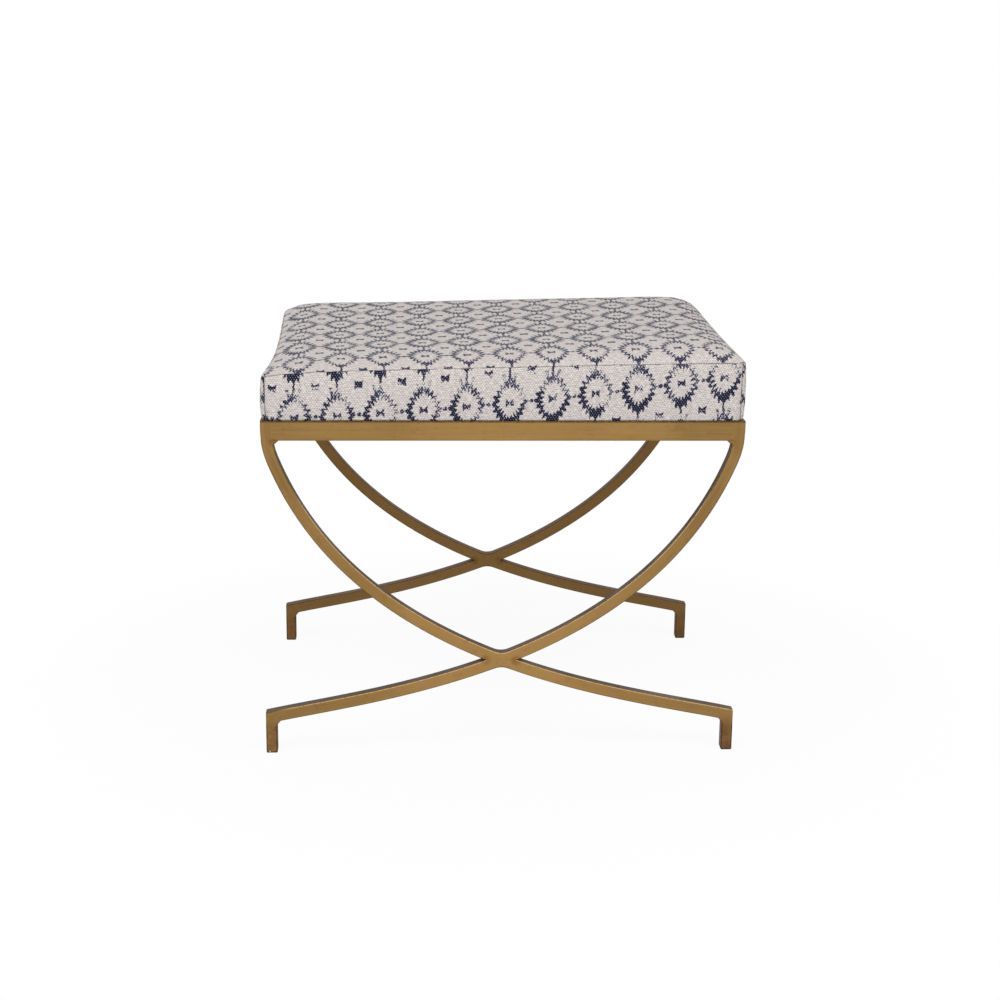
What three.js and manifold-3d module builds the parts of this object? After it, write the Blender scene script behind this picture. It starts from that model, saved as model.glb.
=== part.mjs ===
// A fixed x frame stool: two curved steel x frames joined by a rail frame, under a boxed cushion.
// Millimetres, +Z up, the front towards -Y, and the origin on the floor under the seat's middle.
import * as THREE from "three";
import { mergeVertices } from "three/addons/utils/BufferGeometryUtils.js";
import Module from "manifold-3d";

const wasm = await Module();
wasm.setup();

// Steel frame: overall sizes and bar stock
const frameWidth = 533;
const frameDepth = 407;
const frameTop = 387;
const barSize = 12.7;
const railHeight = 22;
const railWall = 1.5;
const railWeldWeb = 5;

// Legs: one square bar bent from a rail corner to the foot of the other side
const legStraight = 12.4;
const legBendRadius = 88;
const legSplay = THREE.MathUtils.degToRad(21.4);
const legUpperPullShare = 0.873;
const legLowerPullShare = 0.2246;
const crossWebRadius = 22;

// Feet: short uprights under the outer ends of the legs
const footHeight = 48;
const footSlope = THREE.MathUtils.degToRad(13);
const footWeldWeb = 4;
const footRounding = 1.6;

// Corner tabs inside the rail frame, and the screws that hold the seat on them
const tabReach = 42;
const tabThickness = 3;
const tabHoleInset = 14;
const screwRadius = 3;
const screwTipDepth = 1.4;
const screwHeadRadius = 6;
const screwHeadHeight = 3.6;
const screwHeadCrown = 1.2;
const screwSocketRadius = 2.3;
const screwSocketDepth = 2;
const nutFlangeRadius = 9.5;
const nutFlangeThickness = 1.2;
const nutBarrelWall = 1;
const nutLength = 9;

// Seat board
const boardThickness = 12;

// Cushion: a boxed cover over fibre wadding and foam
const cushionSetback = 1;
const boxingHeight = 60;
const crownHeight = 9;
const cornerRadius = 10;
const cornerSoftening = 120;
const drawnInSides = 4.5;
const boxingBulge = 1.5;
const coverThickness = 1;
const coverReturn = 20;
const cornerSeamInset = 6;
const waddingThickness = 5;

// Dust cover under the board
const dustCoverThickness = 0.5;
const dustCoverMargin = 3;

// Fits and modelling allowances
const weldGap = 0.3;
const fitGap = 0.3;
const holeClearance = 0.3;
const cutOverrun = 40;
const mergeDistance = 0.001;

// How finely the curves are drawn
const bendSteps = 6;
const upperLegSteps = 16;
const lowerLegSteps = 10;
const webSteps = 6;
const roundSteps = 3;
const turnedSides = 24;
const hexSides = 6;
const cornerSteps = 4;
const longSideSteps = 10;
const shortSideSteps = 8;
const crownPower = 6;
const ringShares = [1, 0.985, 0.96, 0.92, 0.86, 0.76, 0.6, 0.35];
const sideLevelShares = [0, 0.25, 0.5, 0.75, 1];

const halfWidth = frameWidth / 2;
const halfDepth = frameDepth / 2;
const railBottom = frameTop - railHeight;
const innerX = halfWidth - barSize;
const innerY = halfDepth - barSize;

// A geometry as a solid that can be joined and cut
function solidOf(geometry) {
  const bare = geometry.clone();
  bare.deleteAttribute("normal");
  bare.deleteAttribute("uv");
  const merged = mergeVertices(bare, mergeDistance);
  const vertProperties = merged.attributes.position.array;
  const triVerts = new Uint32Array(merged.index.array);
  return new wasm.Manifold(new wasm.Mesh({ numProp: 3, vertProperties, triVerts }));
}

function geometryOf(solid) {
  const { vertProperties, triVerts } = solid.getMesh();
  const geometry = new THREE.BufferGeometry();
  geometry.setAttribute("position", new THREE.BufferAttribute(vertProperties, 3));
  geometry.setIndex(new THREE.BufferAttribute(triVerts, 1));
  geometry.computeVertexNormals();
  return geometry;
}

// A box from its lowest to its highest corner
function block(low, high) {
  const size = high.map((value, axis) => value - low[axis]);
  const box = new THREE.BoxGeometry(...size);
  box.translate(...low.map((value, axis) => value + size[axis] / 2));
  return solidOf(box);
}

// An outline of [x, z] points made into an upright plate, from frontY towards +Y
function uprightPlate(outline, frontY, thickness) {
  const shape = new THREE.Shape(outline.map(([x, z]) => new THREE.Vector2(x, z)));
  const plate = new THREE.ExtrudeGeometry(shape, { depth: thickness, bevelEnabled: false });
  plate.rotateX(Math.PI / 2);
  plate.translate(0, frontY + thickness, 0);
  return solidOf(plate);
}

// A shape made into a level plate, from bottomZ upwards
function levelPlate(shape, bottomZ, thickness) {
  const settings = { depth: thickness, bevelEnabled: false, curveSegments: turnedSides / 2 };
  const plate = new THREE.ExtrudeGeometry(shape, settings);
  plate.translate(0, 0, bottomZ);
  return solidOf(plate);
}

// A profile of [radius, z] points turned about an upright axis through x, y
function turned(profile, x, y) {
  const points = profile.map(([radius, z]) => new THREE.Vector2(radius, z));
  const lathe = new THREE.LatheGeometry(points, turnedSides);
  lathe.rotateX(Math.PI / 2);
  lathe.translate(x, y, 0);
  return solidOf(lathe);
}

function uprightRod(radius, sides, x, y, bottomZ, topZ) {
  const rod = new THREE.CylinderGeometry(radius, radius, topZ - bottomZ, sides);
  rod.rotateX(Math.PI / 2);
  rod.translate(x, y, (bottomZ + topZ) / 2);
  return solidOf(rod);
}

// The curved stretch of a leg's centre line, in the x, z plane, from the bend to the foot
const bendEnd = new THREE.Vector2(
  -halfWidth + barSize / 2 + legBendRadius * (1 - Math.cos(legSplay)),
  frameTop - legStraight - legBendRadius * Math.sin(legSplay),
);
const legEnd = new THREE.Vector2(halfWidth, footHeight - barSize / 2 / Math.cos(footSlope));
const upperPull = legUpperPullShare * (bendEnd.y - legEnd.y);
const lowerPull = legLowerPullShare * (legEnd.x - bendEnd.x);
const legCurve = new THREE.CubicBezierCurve(
  bendEnd,
  new THREE.Vector2(Math.sin(legSplay), -Math.cos(legSplay)).multiplyScalar(upperPull).add(bendEnd),
  new THREE.Vector2(-Math.cos(footSlope), Math.sin(footSlope)).multiplyScalar(lowerPull).add(legEnd),
  legEnd,
);

// The share of the curve at which it meets its mirror image, on x = 0
function crossingShare() {
  let [before, after] = [0, 1];
  for (let halving = 0; halving < 40; halving += 1) {
    const middle = (before + after) / 2;
    if (legCurve.getPoint(middle).x < 0) before = middle;
    else after = middle;
  }
  return before;
}
const crossing = crossingShare();

// Stations along the curve, each with its angle from straight down
function stations(from, to, steps) {
  return Array.from({ length: steps + 1 }, (_, step) => {
    const share = from + ((to - from) * step) / steps;
    const { x, y } = legCurve.getPoint(share);
    const way = legCurve.getTangent(share);
    return { x, z: y, angle: Math.atan2(way.x, -way.y) };
  });
}

const crossingStation = stations(crossing, 1, 1)[0];

// The leg from its top end, raised by an overrun for a cutter, down to the crossing
function upperStretch(overrun) {
  const x = -halfWidth + barSize / 2;
  const bendTop = frameTop - legStraight;
  const bend = Array.from({ length: bendSteps }, (_, step) => {
    const angle = (legSplay * step) / bendSteps;
    const along = legBendRadius * (1 - Math.cos(angle));
    return { x: x + along, z: bendTop - legBendRadius * Math.sin(angle), angle };
  });
  const curve = stations(0, crossing, upperLegSteps);
  return [{ x, z: frameTop + overrun, angle: 0 }, ...bend, ...curve];
}

// The leg from the crossing to its upright cut end at the foot
function lowerStretch(overrun) {
  const curve = stations(crossing, 1, lowerLegSteps);
  const end = curve.pop();
  const past = { ...end, x: end.x + overrun, z: end.z - overrun * Math.tan(footSlope) };
  return [...curve, { ...(overrun ? past : end), uprightCut: true }];
}

// The outline of a bar of the given width along a stretch, on the side -1 or mirrored on 1
function barOutline(stretch, width, side) {
  const edge = (offset) =>
    stretch.map(({ x, z, angle, uprightCut }) =>
      uprightCut
        ? [-side * x, z + offset / Math.sin(angle)]
        : [-side * (x + offset * Math.cos(angle)), z + offset * Math.sin(angle)],
    );
  return [...edge(-width / 2), ...edge(width / 2).reverse()];
}

// A whole leg grown by the weld gap and run out past its ends, to cut what is welded to it
function legCutter(side, frontY) {
  const stretch = [...upperStretch(cutOverrun), ...lowerStretch(cutOverrun).slice(1)];
  const outline = barOutline(stretch, barSize + 2 * weldGap, side);
  return uprightPlate(outline, frontY - cutOverrun, barSize + 2 * cutOverrun);
}

// The weld metal in the v over the crossing, or under it where way is -1
function crossingWeb(frontY, way) {
  const slope = Math.PI / 2 - crossingStation.angle;
  const apex = crossingStation.z + (way * barSize) / 2 / Math.cos(slope);
  const centre = apex + (way * crossWebRadius) / Math.cos(slope);
  const arc = Array.from({ length: webSteps + 1 }, (_, step) => {
    const angle = slope * ((2 * step) / webSteps - 1);
    return [crossWebRadius * Math.sin(angle), centre - way * crossWebRadius * Math.cos(angle)];
  });
  return uprightPlate([...arc, [0, crossingStation.z]], frontY, barSize);
}

// The foot: an upright under the leg's end, rounded at the floor, with weld metal in its corner
function footSolid(side, frontY) {
  const legUnderside = legEnd.y - barSize / 2 / Math.cos(footSlope) + barSize * Math.tan(footSlope);
  const rounded = (cornerX, way) =>
    Array.from({ length: roundSteps + 1 }, (_, step) => {
      const angle = (Math.PI / 2) * (step / roundSteps);
      const inX = cornerX - way * footRounding * (1 - Math.sin(angle));
      return [inX, footRounding * (1 - Math.cos(angle))];
    });
  const outline = [
    ...rounded(halfWidth, 1),
    [halfWidth, legEnd.y],
    [innerX - footWeldWeb, legEnd.y + footWeldWeb * Math.tan(footSlope)],
    [innerX - footWeldWeb, legUnderside],
    [innerX, legUnderside - footWeldWeb],
    ...rounded(innerX, -1).reverse(),
  ];
  const placed = outline.map(([x, z]) => [side * x, z]);
  return uprightPlate(placed, frontY, barSize).subtract(legCutter(-side, frontY));
}

// A front or back rail: a tube between the two legs, with weld metal in its lower corners
function crossRail(frontY) {
  const legMiddle = halfWidth - barSize / 2;
  const end = (side) => [
    [side * (innerX - railWeldWeb), railBottom],
    [side * innerX, railBottom - railWeldWeb],
    [side * legMiddle, railBottom - railWeldWeb],
    [side * legMiddle, frameTop],
  ];
  const outline = [...end(1), ...end(-1).reverse()];
  const hollow = block(
    [-halfWidth - cutOverrun, frontY + railWall, railBottom + railWall],
    [halfWidth + cutOverrun, frontY + barSize - railWall, frameTop - railWall],
  );
  return uprightPlate(outline, frontY, barSize)
    .subtract(hollow)
    .subtract(legCutter(-1, frontY))
    .subtract(legCutter(1, frontY));
}

// A left or right rail: a tube between the front and the back legs
function sideRail(side) {
  const middleX = side * (halfWidth - barSize / 2);
  const reach = innerY - weldGap;
  const tube = block(
    [middleX - barSize / 2, -reach, railBottom],
    [middleX + barSize / 2, reach, frameTop],
  );
  const hollow = block(
    [middleX - barSize / 2 + railWall, -halfDepth, railBottom + railWall],
    [middleX + barSize / 2 - railWall, halfDepth, frameTop - railWall],
  );
  return tube.subtract(hollow);
}

// Seat board: it lies on the turned-under edge of the cover, inside the wadding
const boardBottom = frameTop + coverThickness + fitGap;
const boardTop = boardBottom + boardThickness;

// A triangular tab welded into a corner of the rail frame, with a hole for the seat screw
const tabTop = frameTop - dustCoverThickness - fitGap;
const screwX = innerX - tabHoleInset;
const screwY = innerY - tabHoleInset;
function cornerTab(sideX, sideY) {
  const x = sideX * (innerX - weldGap);
  const y = sideY * (innerY - weldGap);
  const shape = new THREE.Shape();
  shape.moveTo(x, y);
  shape.lineTo(x - sideX * tabReach, y);
  shape.lineTo(x, y - sideY * tabReach);
  const hole = new THREE.Path();
  hole.absarc(sideX * screwX, sideY * screwY, screwRadius + holeClearance, 0, 2 * Math.PI);
  shape.holes.push(hole);
  return levelPlate(shape, tabTop - tabThickness, tabThickness);
}

// A socket head screw that comes up through a tab and ends just under the seat board's top
function seatScrew(x, y) {
  const seat = tabTop - tabThickness - fitGap;
  const tip = boardTop - screwTipDepth;
  const profile = [
    [0, seat - screwHeadHeight],
    [screwHeadRadius - screwHeadCrown, seat - screwHeadHeight],
    [screwHeadRadius, seat - screwHeadHeight + screwHeadCrown],
    [screwHeadRadius, seat],
    [screwRadius, seat],
    [screwRadius, tip],
    [0, tip],
  ];
  const under = seat - screwHeadHeight;
  const socketTop = under + screwSocketDepth;
  const socket = uprightRod(screwSocketRadius, hexSides, x, y, under - cutOverrun, socketTop);
  return turned(profile, x, y).subtract(socket);
}

const nutBoreRadius = screwRadius + holeClearance;
const nutBarrelRadius = nutBoreRadius + nutBarrelWall;

// A tee nut sunk into the top of the seat board
function teeNut(x, y) {
  const top = boardTop;
  const flangeUnder = top - nutFlangeThickness;
  const profile = [
    [nutBoreRadius, top - nutLength],
    [nutBarrelRadius, top - nutLength],
    [nutBarrelRadius, flangeUnder],
    [nutFlangeRadius, flangeUnder],
    [nutFlangeRadius, top],
    [nutBoreRadius, top],
    [nutBoreRadius, top - nutLength],
  ];
  return turned(profile, x, y);
}

// A rectangle with round corners as a closed ring of [x, y] points, the same count for any size
function roundedRing(halfX, halfY, radius) {
  const corners = [
    [1, 1, 0],
    [-1, 1, 1],
    [-1, -1, 2],
    [1, -1, 3],
  ];
  const arcs = corners.map(([signX, signY, quarter]) =>
    Array.from({ length: cornerSteps + 1 }, (_, step) => {
      const angle = (Math.PI / 2) * (quarter + step / cornerSteps);
      const x = signX * (halfX - radius) + radius * Math.cos(angle);
      return [x, signY * (halfY - radius) + radius * Math.sin(angle)];
    }),
  );
  return arcs.flatMap((arc, index) => {
    const from = arc[cornerSteps];
    const to = arcs[(index + 1) % corners.length][0];
    const steps = index % 2 ? shortSideSteps : longSideSteps;
    const side = Array.from({ length: steps - 1 }, (_, step) => {
      const share = (step + 1) / steps;
      return [from[0] + (to[0] - from[0]) * share, from[1] + (to[1] - from[1]) * share];
    });
    return [...arc, ...side];
  });
}

const cushionHalfX = halfWidth - cushionSetback;
const cushionHalfY = halfDepth - cushionSetback;
const seamHeight = frameTop + boxingHeight;

// How far the middle of a side stands out of the straight line between its corners at a height
function sideSwell(z) {
  const level = Math.min(1, (z - frameTop) / boxingHeight);
  return boxingBulge * 4 * level * (1 - level) - drawnInSides * level * level;
}

// The cushion's outer form drawn in by an inset, as a closed solid from bottomZ to its crown
function cushionForm(inset, bottomZ) {
  const rimZ = seamHeight + coverThickness - inset;
  const halfX = cushionHalfX - inset;
  const halfY = cushionHalfY - inset;
  const swollen = ([x, y], z, share) => {
    const swell = sideSwell(z) * share;
    const alongX = 1 - (x / cushionHalfX) ** 2;
    const alongY = 1 - (y / cushionHalfY) ** 2;
    return [x + (x / halfX) * swell * alongY, y + (y / halfY) * swell * alongX, z];
  };
  const rim = roundedRing(halfX, halfY, cornerRadius);
  const sideRings = sideLevelShares.map((share) => {
    const z = bottomZ + (rimZ - bottomZ) * share;
    return rim.map((point) => swollen(point, z, 1));
  });
  const topRings = ringShares.slice(1).map((share) => {
    const radius = Math.min(share * halfY, cornerRadius + (1 - share) * cornerSoftening);
    const z = rimZ + crownHeight * Math.sqrt(1 - share ** crownPower);
    const ring = roundedRing(share * halfX, share * halfY, radius);
    return ring.map((point) => [...swollen(point, rimZ, share).slice(0, 2), z]);
  });
  const rings = [...sideRings, ...topRings];
  const count = rim.length;
  const points = rings.flat();
  const bottomCentre = points.push([0, 0, bottomZ]) - 1;
  const topCentre = points.push([0, 0, rimZ + crownHeight]) - 1;
  const faces = [];
  for (let here = 0; here < count; here += 1) {
    const next = (here + 1) % count;
    faces.push([bottomCentre, next, here]);
    for (let ring = 0; ring < rings.length - 1; ring += 1) {
      const low = ring * count;
      const high = low + count;
      faces.push([low + here, low + next, high + next], [low + here, high + next, high + here]);
    }
    const last = (rings.length - 1) * count;
    faces.push([last + here, last + next, topCentre]);
  }
  const geometry = new THREE.BufferGeometry();
  const positions = new Float32Array(points.flat());
  geometry.setAttribute("position", new THREE.BufferAttribute(positions, 3));
  geometry.setIndex(faces.flat());
  return solidOf(geometry);
}

// The cover as one skin, open under the board but for its turned-under edge
const highest = seamHeight + coverThickness + crownHeight + cutOverrun;
const lowest = frameTop - cutOverrun;
const outerX = halfWidth + cutOverrun;
const outerY = halfDepth + cutOverrun;
const returnX = cushionHalfX - coverReturn;
const returnY = cushionHalfY - coverReturn;
const coverSkin = cushionForm(0, frameTop)
  .subtract(cushionForm(coverThickness, frameTop + coverThickness))
  .subtract(block([-returnX, -returnY, lowest], [returnX, returnY, boardBottom]));
const boxingSkin = coverSkin.intersect(
  block([-outerX, -outerY, lowest], [outerX, outerY, seamHeight]),
);

function coverTop() {
  const above = block([-outerX, -outerY, seamHeight + fitGap], [outerX, outerY, highest]);
  return coverSkin.intersect(above);
}

// A front or back boxing strip, which ends at a seam just before each corner
const seamX = cushionHalfX - cornerSeamInset;
function crossBoxing(side) {
  const near = side * (returnY + fitGap);
  const far = side * outerY;
  const slab = block(
    [-seamX, Math.min(near, far), lowest],
    [seamX, Math.max(near, far), seamHeight],
  );
  return boxingSkin.intersect(slab);
}

// A left or right boxing strip, which wraps round its two corners
function sideBoxing(side) {
  const span = (nearX, reachY) => {
    const ends = [side * nearX, side * outerX];
    return block([Math.min(...ends), -reachY, lowest], [Math.max(...ends), reachY, seamHeight]);
  };
  return boxingSkin.intersect(span(seamX + fitGap, outerY).add(span(fitGap, returnY)));
}

const waddingInset = coverThickness + fitGap;
const foamInset = waddingInset + waddingThickness + fitGap;

// Fibre wadding: a cap over the foam that comes down past the edge of the board
function wadding() {
  const inside = cushionForm(foamInset - fitGap, frameTop);
  return cushionForm(waddingInset, boardBottom).subtract(inside);
}

function foamPad() {
  return cushionForm(foamInset, boardTop + fitGap);
}

function roundedShape(halfX, halfY) {
  const ring = roundedRing(halfX, halfY, cornerRadius);
  return new THREE.Shape(ring.map(([x, y]) => new THREE.Vector2(x, y)));
}

const cornerSides = [
  ["front_left", -1, -1],
  ["front_right", 1, -1],
  ["back_left", -1, 1],
  ["back_right", 1, 1],
];

// Plywood seat board, bored and sunk for the tee nuts
function seatBoard() {
  const halfX = cushionHalfX - foamInset;
  const halfY = cushionHalfY - foamInset;
  const board = levelPlate(roundedShape(halfX, halfY), boardBottom, boardThickness);
  const boreRadius = nutBarrelRadius + holeClearance;
  const sinkRadius = nutFlangeRadius + holeClearance;
  const sinkFloor = boardTop - nutFlangeThickness - fitGap;
  return cornerSides.reduce((left, [, sideX, sideY]) => {
    const spot = [sideX * screwX, sideY * screwY];
    const bore = uprightRod(boreRadius, turnedSides, ...spot, lowest, highest);
    const sink = uprightRod(sinkRadius, turnedSides, ...spot, sinkFloor, highest);
    return left.subtract(bore).subtract(sink);
  }, board);
}

// Woven dust cover stapled under the board, with a hole for each seat screw
function dustCover() {
  const halfX = innerX - dustCoverMargin;
  const halfY = innerY - dustCoverMargin;
  const shape = roundedShape(halfX, halfY);
  cornerSides.forEach(([, sideX, sideY]) => {
    const hole = new THREE.Path();
    hole.absarc(sideX * screwX, sideY * screwY, screwRadius + holeClearance, 0, 2 * Math.PI);
    shape.holes.push(hole);
  });
  return levelPlate(shape, frameTop - dustCoverThickness, dustCoverThickness);
}

// Finishes: colour, roughness and metalness
const finishes = {
  gold: ["#9c7a44", 0.42, 0.85],
  zinc: ["#b4b6b8", 0.35, 0.9],
  plywood: ["#c8a874", 0.75, 0],
  foam: ["#ece4c4", 0.95, 0],
  fibre: ["#f4f3ef", 1, 0],
  print: ["#cfc6c0", 0.92, 0],
  cambric: ["#1c1c1e", 0.95, 0],
};

const stool = new THREE.Group();
stool.name = "x_frame_stool";

// Puts a solid into a group as a named mesh with its own material
function place(group, name, solid, finish) {
  const [color, roughness, metalness] = finishes[finish];
  const material = new THREE.MeshStandardMaterial({ color, roughness, metalness });
  const mesh = new THREE.Mesh(geometryOf(solid), material);
  mesh.name = name;
  group.add(mesh);
}

// One x frame: a leg in one length, the other leg in two pieces welded to it, and two feet
function addXFrame(end, frontY) {
  const group = new THREE.Group();
  const cutter = legCutter(-1, frontY);
  const through = [...upperStretch(0), ...lowerStretch(0).slice(1)];
  const upper = uprightPlate(barOutline(upperStretch(0), barSize, 1), frontY, barSize);
  const lower = uprightPlate(barOutline(lowerStretch(0), barSize, 1), frontY, barSize);
  const whole = uprightPlate(barOutline(through, barSize, -1), frontY, barSize);
  place(group, `${end}_leg_through`, whole, "gold");
  const upperLeg = upper.add(crossingWeb(frontY, 1)).subtract(cutter);
  place(group, `${end}_leg_upper`, upperLeg, "gold");
  const lowerLeg = lower.add(crossingWeb(frontY, -1)).subtract(cutter);
  place(group, `${end}_leg_lower`, lowerLeg, "gold");
  place(group, `${end}_left_foot`, footSolid(-1, frontY), "gold");
  place(group, `${end}_right_foot`, footSolid(1, frontY), "gold");
  place(group, `${end}_rail`, crossRail(frontY), "gold");
  return group;
}

const steelFrame = new THREE.Group();
steelFrame.add(addXFrame("front", -halfDepth), addXFrame("back", innerY));
place(steelFrame, "left_rail", sideRail(-1), "gold");
place(steelFrame, "right_rail", sideRail(1), "gold");
cornerSides.forEach(([corner, sideX, sideY]) => {
  place(steelFrame, `${corner}_tab`, cornerTab(sideX, sideY), "gold");
});

const seat = new THREE.Group();
place(seat, "seat_board", seatBoard(), "plywood");
place(seat, "foam_pad", foamPad(), "foam");
place(seat, "fibre_wadding", wadding(), "fibre");
place(seat, "cover_top", coverTop(), "print");
place(seat, "cover_front_boxing", crossBoxing(-1), "print");
place(seat, "cover_back_boxing", crossBoxing(1), "print");
place(seat, "cover_left_boxing", sideBoxing(-1), "print");
place(seat, "cover_right_boxing", sideBoxing(1), "print");
place(seat, "dust_cover", dustCover(), "cambric");
cornerSides.forEach(([corner, sideX, sideY]) => {
  place(seat, `${corner}_screw`, seatScrew(sideX * screwX, sideY * screwY), "zinc");
  place(seat, `${corner}_tee_nut`, teeNut(sideX * screwX, sideY * screwY), "zinc");
});

stool.add(steelFrame, seat);

export default stool;
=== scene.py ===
import math

import bmesh
import bpy
import numpy as np
from mathutils import Matrix, Vector


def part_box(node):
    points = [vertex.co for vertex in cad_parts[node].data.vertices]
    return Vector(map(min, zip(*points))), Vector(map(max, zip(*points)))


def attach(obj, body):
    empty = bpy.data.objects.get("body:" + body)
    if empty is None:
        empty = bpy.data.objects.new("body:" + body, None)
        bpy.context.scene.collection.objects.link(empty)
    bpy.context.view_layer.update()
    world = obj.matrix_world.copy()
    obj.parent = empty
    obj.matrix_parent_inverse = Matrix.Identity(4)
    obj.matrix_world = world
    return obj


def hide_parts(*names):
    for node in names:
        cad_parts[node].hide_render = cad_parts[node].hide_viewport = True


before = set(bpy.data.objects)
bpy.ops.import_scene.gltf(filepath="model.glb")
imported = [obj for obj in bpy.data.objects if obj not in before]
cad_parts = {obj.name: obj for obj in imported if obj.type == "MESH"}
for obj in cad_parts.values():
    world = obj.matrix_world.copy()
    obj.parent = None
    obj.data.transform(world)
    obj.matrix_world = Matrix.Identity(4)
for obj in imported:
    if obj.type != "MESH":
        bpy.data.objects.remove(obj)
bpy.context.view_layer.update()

# --- Room -------------------------------------------------------------------
# A white floor and surround with soft lamps high in front. None of it belongs
# to the stool; the floor only keeps the stool's faint shadow.

scene = bpy.context.scene
scene.view_settings.view_transform = "Standard"


class Wire:
    """A shader socket. Arithmetic on it adds Math nodes."""

    def __init__(self, socket):
        self.socket = socket

    @staticmethod
    def node(tree, kind, inputs=None, out=0, **settings):
        """Any other node: its settings first, then a value or a wire for each socket named."""
        made = tree.nodes.new(kind)
        for name, value in settings.items():
            setattr(made, name, value)
        for name, value in (inputs or {}).items():
            if isinstance(value, Wire):
                tree.links.new(value.socket, made.inputs[name])
            else:
                made.inputs[name].default_value = value
        return Wire(made.outputs[out]) if made.outputs else None

    def maths(self, operation, *values):
        return Wire.node(self.socket.id_data, "ShaderNodeMath", dict(enumerate(values)), operation=operation)

    def __add__(self, other):
        return self.maths("ADD", self, other)

    def __radd__(self, other):
        return self.maths("ADD", other, self)

    def __sub__(self, other):
        return self.maths("SUBTRACT", self, other)

    def __rsub__(self, other):
        return self.maths("SUBTRACT", other, self)

    def __mul__(self, other):
        return self.maths("MULTIPLY", self, other)

    def __rmul__(self, other):
        return self.maths("MULTIPLY", other, self)

    def __truediv__(self, other):
        return self.maths("DIVIDE", self, other)

    def __pow__(self, other):
        return self.maths("POWER", self, other)

    def __abs__(self):
        return self.maths("ABSOLUTE", self)

    def least(self, other):
        return self.maths("MINIMUM", self, other)

    def most(self, other):
        return self.maths("MAXIMUM", self, other)

    def rise(self, low, high):
        """0 up to low, 1 from high on, and smooth between them."""
        return Wire.node(
            self.socket.id_data, "ShaderNodeMapRange",
            {"Value": self, "From Min": low, "From Max": high}, interpolation_type="SMOOTHSTEP",
        )

    def of(self, operation):
        """Maths on this alone, such as COSINE or FRACT."""
        return self.maths(operation, self)

    def axes(self):
        """The x, y and z of a vector."""
        x = Wire.node(self.socket.id_data, "ShaderNodeSeparateXYZ", {0: self})
        return x, x.other(1), x.other(2)

    def other(self, out):
        """Another output of the same node."""
        return Wire(self.socket.node.outputs[out])


def colour(red, green, blue):
    """A colour as a screen shows it, 0 to 255, made linear."""
    return tuple(
        c / 12.92 if c <= 0.04045 else ((c + 0.055) / 1.055) ** 2.4 for c in (red / 255, green / 255, blue / 255)
    ) + (1,)


def tint(mask, low, high):
    """The colour low where mask is 0 and high where it is 1."""
    return Wire.node(
        mask.socket.id_data, "ShaderNodeMix", {0: mask, 6: low, 7: high}, out=2, data_type="RGBA"
    )


def finish(name, surface):
    """A material that shows what surface(tree) returns."""
    material = bpy.data.materials.new(name)
    material.use_nodes = True
    tree = material.node_tree
    tree.nodes.clear()
    Wire.node(tree, "ShaderNodeOutputMaterial", {"Surface": surface(tree)})
    return material


def seen_directly(tree):
    ray = Wire.node(tree, "ShaderNodeLightPath", out="Is Camera Ray")
    return ray.most(ray.other("Is Glossy Ray")).most(ray.other("Is Transmission Ray"))


def spot(tree):
    """Where a point is on its piece, in metres."""
    return Wire.node(tree, "ShaderNodeTexCoord", out="Object")


white = (1, 1, 1, 1)


def white_floor(tree):
    lit = Wire.node(tree, "ShaderNodeBsdfDiffuse", {"Color": (0.97, 0.97, 0.97, 1)})
    plain = Wire.node(tree, "ShaderNodeEmission", {"Color": white, "Strength": 1.0})
    away = Wire.node(tree, "ShaderNodeVectorMath", {0: spot(tree)}, out="Value", operation="LENGTH")
    plainness = 0.93 + 0.07 * away.rise(0.35, 0.75)
    return Wire.node(tree, "ShaderNodeMixShader", {0: seen_directly(tree) * plainness, 1: lit, 2: plain})


floor_mesh = bpy.data.meshes.new("floor")
floor_mesh.from_pydata([(-9, -9, 0), (9, -9, 0), (9, 9, 0), (-9, 9, 0)], [], [(0, 1, 2, 3)])
floor = bpy.data.objects.new("floor", floor_mesh)
scene.collection.objects.link(floor)
floor_mesh.materials.append(finish("white_floor", white_floor))

world = bpy.data.worlds.new("white_surround")
scene.world = world
world.use_nodes = True
surround = world.node_tree
surround.nodes.clear()
soft_fill, white_seen = [
    Wire.node(surround, "ShaderNodeBackground", {"Color": white, "Strength": strength}) for strength in (0.46, 1.0)
]
Wire.node(surround, "ShaderNodeOutputWorld", {
    "Surface": Wire.node(surround, "ShaderNodeMixShader", {0: seen_directly(surround), 1: soft_fill, 2: white_seen}),
})


def soft_lamp(name, place, size, level):
    """A square lamp aimed at the seat. At level 1 it alone shows a colour facing it as it is written."""
    lamp = bpy.data.lights.new(name, "AREA")
    aim = Vector((0, 0, 0.3)) - Vector(place)
    lamp.size = size
    lamp.energy = level * math.pi ** 2 * aim.length_squared
    stand = bpy.data.objects.new(name, lamp)
    stand.location = place
    stand.rotation_euler = aim.to_track_quat("-Z", "Y").to_euler()
    scene.collection.objects.link(stand)


soft_lamp("lamp_left", (-1.9, -1.9, 3.0), 1.8, 0.34)
soft_lamp("lamp_right", (1.5, -2.2, 3.0), 1.8, 0.3)


# --- Camera -----------------------------------------------------------------
# The photograph's viewing angle: a little left of the middle and above the seat.

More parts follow.
